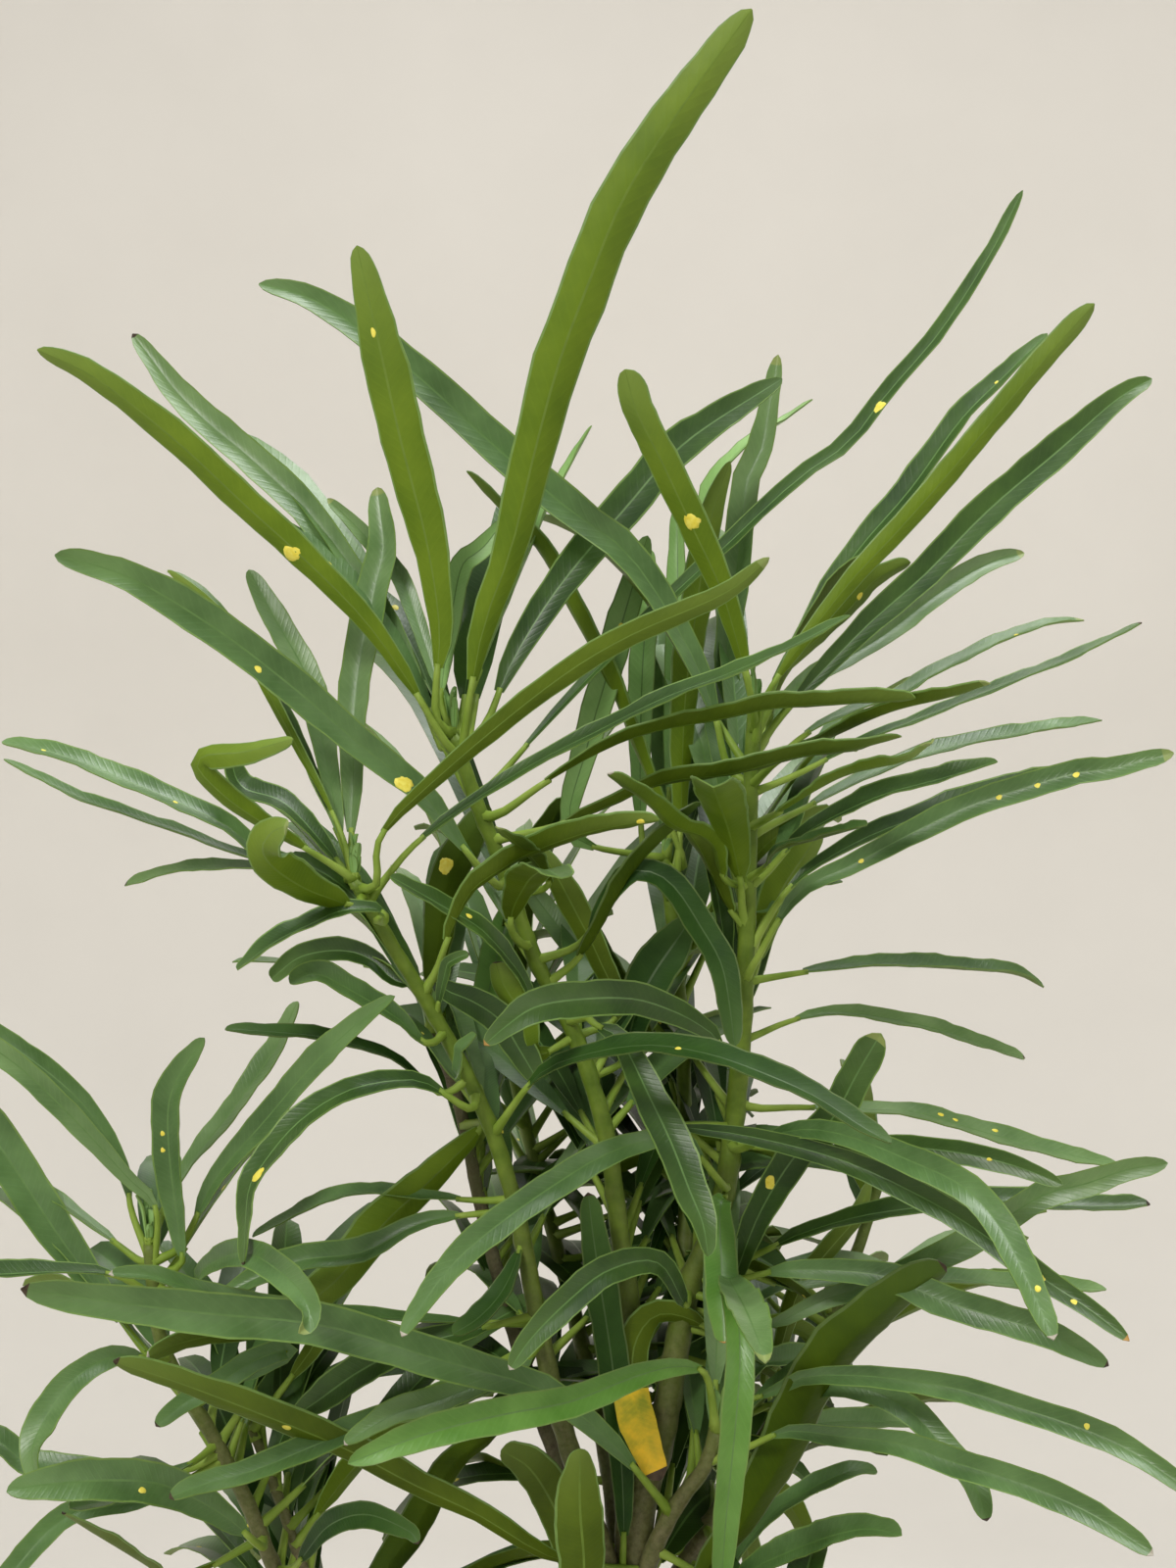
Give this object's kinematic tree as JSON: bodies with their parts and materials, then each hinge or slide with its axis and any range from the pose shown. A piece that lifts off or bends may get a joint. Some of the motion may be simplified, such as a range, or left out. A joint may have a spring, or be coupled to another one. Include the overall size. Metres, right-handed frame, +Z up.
{
  "type": "potted croton",
  "caption": "Bushy narrow-leaved croton with a forked stem and whorls of long strap leaves, standing in a plain clay pot of soil.",
  "frame": {"origin": "The middle of the pot's flat underside.", "axes": "+Z is up, along the trunk; the front of the plant, the side that shows, faces -Y; +X is to the right seen from the front."},
  "size_m": [0.3266, 0.2755, 0.7581],
  "materials": {
    "clay": "matte",
    "potting_mix": "matte",
    "bark": "matte",
    "green_stem": "satin",
    "foliage": "satin"
  },
  "bodies": {
    "root": {"bough_back_left": "green_stem", "bough_back_pale": "green_stem", "bough_back_right": "green_stem", "bough_centre": "green_stem", "bough_fork": "green_stem", "bough_front_right": "green_stem", "bough_left": "green_stem", "bough_left_back": "bark", "bough_low_left": "green_stem", "bough_low_left_twin": "green_stem", "bough_right": "green_stem", "foliage_back_left_low": "foliage", "foliage_back_left_top": "foliage", "foliage_back_pale_low": "foliage", "foliage_back_pale_top": "foliage", "foliage_back_right_low": "foliage", "foliage_back_right_top": "foliage", "foliage_centre_low": "foliage", "foliage_centre_middle": "foliage", "foliage_centre_top": "foliage", "foliage_centre_upper": "foliage", "foliage_fork": "foliage", "foliage_fork_arch": "foliage", "foliage_fork_top": "foliage", "foliage_front_left": "foliage", "foliage_front_right_top": "foliage", "foliage_lead": "foliage", "foliage_left_foot": "foliage", "foliage_left_low": "foliage", "foliage_left_middle": "foliage", "foliage_left_top": "foliage", "foliage_low_left_foot": "foliage", "foliage_low_left_middle": "foliage", "foliage_low_left_top": "foliage", "foliage_right_arch": "foliage", "foliage_right_foot": "foliage", "foliage_right_low": "foliage", "foliage_right_middle": "foliage", "foliage_right_top": "foliage", "foliage_right_upper": "foliage", "pot": "clay", "soil": "potting_mix", "trunk": "bark"}
  },
  "joints": []
}
